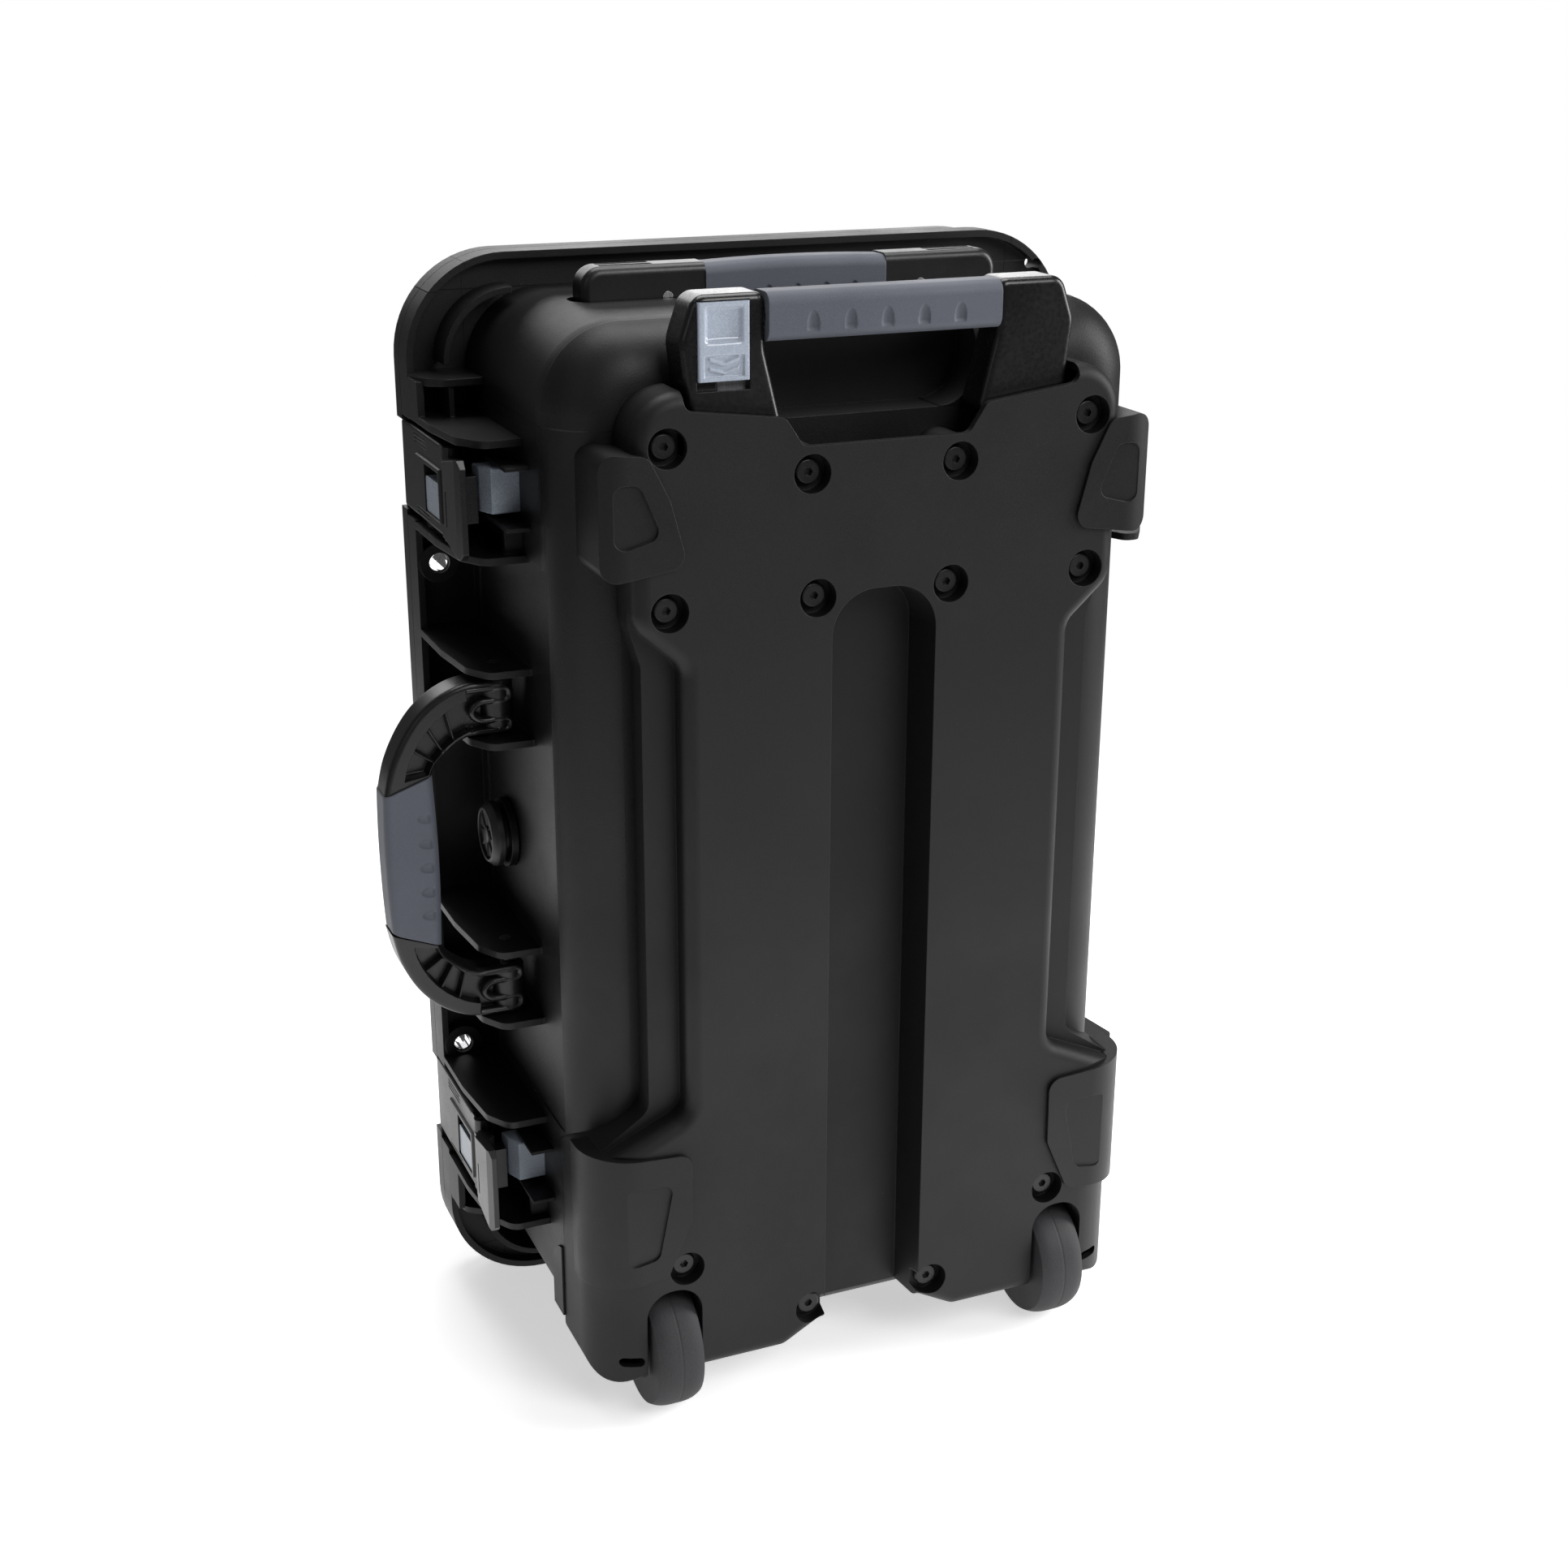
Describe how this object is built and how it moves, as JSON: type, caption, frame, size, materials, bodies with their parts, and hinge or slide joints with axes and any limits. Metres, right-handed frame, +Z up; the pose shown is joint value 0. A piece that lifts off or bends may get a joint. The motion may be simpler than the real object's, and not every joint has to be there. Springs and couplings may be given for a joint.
{
  "type": "wheeled hard case",
  "caption": "Hard plastic wheeled tool case with hinged lid, lever latches, folding side handle, lifting top handle and a two-stage pull handle.",
  "frame": {"origin": "on the floor, at the middle of the case width and depth, inside its footprint of two wheels and the rim edge", "axes": "+Z up along the height, +Y towards the lid face, -Y towards the pull handle, -X towards the latches and the side handle, +X towards the lid hinge"},
  "size_m": [0.397, 0.2403, 0.559],
  "materials": {
    "body_plastic": "fine moulded texture, charcoal black",
    "handle_plastic": "satin moulded black",
    "gloss_plastic": "smooth glossy black",
    "inner_plastic": "plain black guide plastic",
    "grip_rubber": "matte slate grey soft grip",
    "latch_insert": "satin light blue-grey",
    "seal_rubber": "soft black seal",
    "tyre_rubber": "dark grey solid tyre",
    "hub_plastic": "moulded black",
    "steel": "plain steel",
    "black_steel": "black oxide",
    "chrome_steel": "polished",
    "tube_aluminium": "anodised dark silver"
  },
  "bodies": {
    "tub": {"base_shell": "body_plastic", "tub_rim": "body_plastic", "side_ribs": "body_plastic", "hinge_pins": "steel", "trolley_cover": "body_plastic", "cover_screws": "black_steel", "bumper_upper_left": "body_plastic", "bumper_upper_right": "body_plastic", "bumper_lower_left": "body_plastic", "bumper_lower_right": "body_plastic", "wheel_access_covers": "body_plastic", "wheel_axle_left": "steel", "wheel_axle_right": "steel", "side_handle_pins": "steel", "trolley_outer_tubes": "tube_aluminium", "outer_tube_bushes": "inner_plastic", "tube_end_caps": "inner_plastic", "upper_keeper": "latch_insert", "lower_keeper": "latch_insert", "tub_padlock_bushings": "chrome_steel", "valve_body": "handle_plastic", "valve_cap": "handle_plastic", "valve_washer": "seal_rubber", "valve_nut": "handle_plastic"},
    "lid": {"lid_shell": "body_plastic", "lid_rim": "body_plastic", "lid_seal": "seal_rubber", "lid_padlock_bushings": "chrome_steel", "upper_latch_pin": "steel", "lower_latch_pin": "steel"},
    "upper_latch": {"upper_latch_frame": "handle_plastic", "upper_lever_pin": "steel"},
    "upper_lever": {"upper_latch_lever": "handle_plastic"},
    "upper_slider": {"upper_lock_slider": "latch_insert"},
    "lower_latch": {"lower_latch_frame": "handle_plastic", "lower_lever_pin": "steel"},
    "lower_lever": {"lower_latch_lever": "handle_plastic"},
    "lower_slider": {"lower_lock_slider": "latch_insert"},
    "side_handle": {"side_handle_frame": "handle_plastic", "side_handle_grip": "grip_rubber"},
    "top_handle": {"top_handle_frame": "handle_plastic", "top_handle_grip": "grip_rubber", "top_handle_posts": "handle_plastic", "top_handle_pins": "steel"},
    "middle_stage": {"trolley_middle_tubes": "tube_aluminium", "middle_tube_bushes": "inner_plastic"},
    "pull_handle": {"trolley_inner_tubes": "tube_aluminium", "inner_tube_plugs": "inner_plastic", "pull_rods": "steel", "trolley_handle_frame": "gloss_plastic", "trolley_grip": "grip_rubber"},
    "release_button": {"release_button": "latch_insert"},
    "wheel_left": {"wheel_tyre_left": "tyre_rubber", "wheel_hub_left": "hub_plastic", "wheel_bearings_left": "steel"},
    "wheel_right": {"wheel_tyre_right": "tyre_rubber", "wheel_hub_right": "hub_plastic", "wheel_bearings_right": "steel"}
  },
  "joints": [
    {"name": "lid_hinge", "type": "hinge", "parent": "tub", "child": "lid", "pos_m": [0.172, 0.062, 0.2795], "axis": [0, 0, -1], "range_deg": [0, 105]},
    {"name": "upper_latch_swing", "type": "hinge", "parent": "lid", "child": "upper_latch", "pos_m": [-0.172, 0.0672, 0.4571], "axis": [0, 0, -1], "range_deg": [0, 95]},
    {"name": "upper_lever_lift", "type": "hinge", "parent": "upper_latch", "child": "upper_lever", "pos_m": [-0.174, -0.01, 0.4571], "axis": [0, 0, -1], "range_deg": [0, 70]},
    {"name": "upper_lock_slide", "type": "slide", "parent": "upper_latch", "child": "upper_slider", "axis": [0, 0, 1], "range_m": [0, 0.005]},
    {"name": "lower_latch_swing", "type": "hinge", "parent": "lid", "child": "lower_latch", "pos_m": [-0.172, 0.0672, 0.1092], "axis": [0, 0, -1], "range_deg": [0, 95]},
    {"name": "lower_lever_lift", "type": "hinge", "parent": "lower_latch", "child": "lower_lever", "pos_m": [-0.174, -0.01, 0.1092], "axis": [0, 0, -1], "range_deg": [0, 70]},
    {"name": "lower_lock_slide", "type": "slide", "parent": "lower_latch", "child": "lower_slider", "axis": [0, 0, 1], "range_m": [0, 0.005]},
    {"name": "side_handle_fold", "type": "hinge", "parent": "tub", "child": "side_handle", "pos_m": [-0.16, -0.019, 0.28445], "axis": [0, 0, 1], "range_deg": [0, 88]},
    {"name": "top_handle_lift", "type": "slide", "parent": "tub", "child": "top_handle", "axis": [0, 0, 1], "range_m": [0, 0.025]},
    {"name": "first_stage", "type": "slide", "parent": "tub", "child": "middle_stage", "axis": [0, 0, 1], "range_m": [0, 0.215]},
    {"name": "second_stage", "type": "slide", "parent": "middle_stage", "child": "pull_handle", "axis": [0, 0, 1], "range_m": [0, 0.215]},
    {"name": "button_press", "type": "slide", "parent": "pull_handle", "child": "release_button", "axis": [0, 0, -1], "range_m": [0, 0.004], "stiffness_N_per_m": 400},
    {"name": "left_wheel_spin", "type": "hinge", "parent": "tub", "child": "wheel_left", "pos_m": [-0.108, -0.093, 0.033], "axis": [1, 0, 0], "continuous": true},
    {"name": "right_wheel_spin", "type": "hinge", "parent": "tub", "child": "wheel_right", "pos_m": [0.108, -0.093, 0.033], "axis": [1, 0, 0], "continuous": true}
  ]
}
